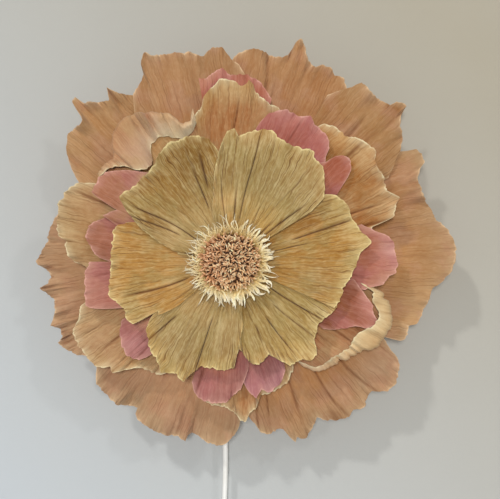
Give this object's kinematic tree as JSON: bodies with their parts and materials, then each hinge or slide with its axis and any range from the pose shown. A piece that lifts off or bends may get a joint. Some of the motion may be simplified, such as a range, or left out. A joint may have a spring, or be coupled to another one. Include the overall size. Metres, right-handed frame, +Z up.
{
  "type": "paper flower wall light",
  "caption": "Giant crepe paper peony on a round lamp base that hangs flat on a wall, with its mains cord coiled below.",
  "frame": {"origin": "centre of the back plate's rear face, on the wall, on the flower's axis", "axes": "+Z up, -Y out of the wall towards the viewer, +X to the viewer's right"},
  "size_m": [0.451, 0.1214, 0.6552],
  "materials": {
    "outer_paper": "salmon tan crepe paper, matte",
    "mid_paper": "cream to peach crepe paper, matte",
    "inner_paper": "dusty pink crepe paper, matte",
    "front_paper": "olive ochre crepe paper, matte",
    "fringe_paper": "cream crepe paper, cut to a fringe",
    "stamen_paper": "tan and brown curled paper filaments",
    "board": "thin plywood discs and turned spacer",
    "white_plastic": "white moulded plastic and flex",
    "led_board": "white solder mask",
    "steel": "zinc plated steel"
  },
  "bodies": {
    "root": {"back_plate": "steel", "lamp_base": "white_plastic", "base_screw_left": "steel", "base_screw_right": "steel", "cord_gland": "white_plastic", "terminal_block": "white_plastic", "stem_tube": "steel", "stem_nut_back": "steel", "stem_nut_front": "steel", "outer_board": "board", "mid_board": "board", "inner_board": "board", "led_board": "led_board", "spacer_tube": "board", "front_board": "board", "centre_disc": "board", "outer_petal_1": "outer_paper", "outer_petal_2": "outer_paper", "outer_petal_3": "outer_paper", "outer_petal_4": "outer_paper", "outer_petal_5": "outer_paper", "outer_petal_6": "outer_paper", "outer_petal_7": "outer_paper", "outer_petal_8": "outer_paper", "mid_petal_1": "mid_paper", "mid_petal_2": "mid_paper", "mid_petal_3": "mid_paper", "mid_petal_4": "mid_paper", "mid_petal_5": "mid_paper", "mid_petal_6": "mid_paper", "mid_petal_7": "mid_paper", "inner_petal_1": "inner_paper", "inner_petal_2": "inner_paper", "inner_petal_3": "inner_paper", "inner_petal_4": "inner_paper", "inner_petal_5": "inner_paper", "inner_petal_6": "inner_paper", "inner_petal_7": "inner_paper", "inner_petal_8": "inner_paper", "inner_petal_9": "inner_paper", "inner_petal_10": "inner_paper", "inner_petal_11": "inner_paper", "front_petal_1": "front_paper", "front_petal_2": "front_paper", "front_petal_3": "front_paper", "front_petal_4": "front_paper", "front_petal_5": "front_paper", "front_petal_6": "front_paper", "fringe_back": "fringe_paper", "fringe_front": "fringe_paper", "stamen_head": "stamen_paper", "cord_tube": "white_plastic", "cord_coil": "white_plastic", "cord_tie": "white_plastic", "cord_tail": "white_plastic", "plug_body": "white_plastic", "plug_pin_left": "steel", "plug_pin_right": "steel"}
  },
  "joints": []
}
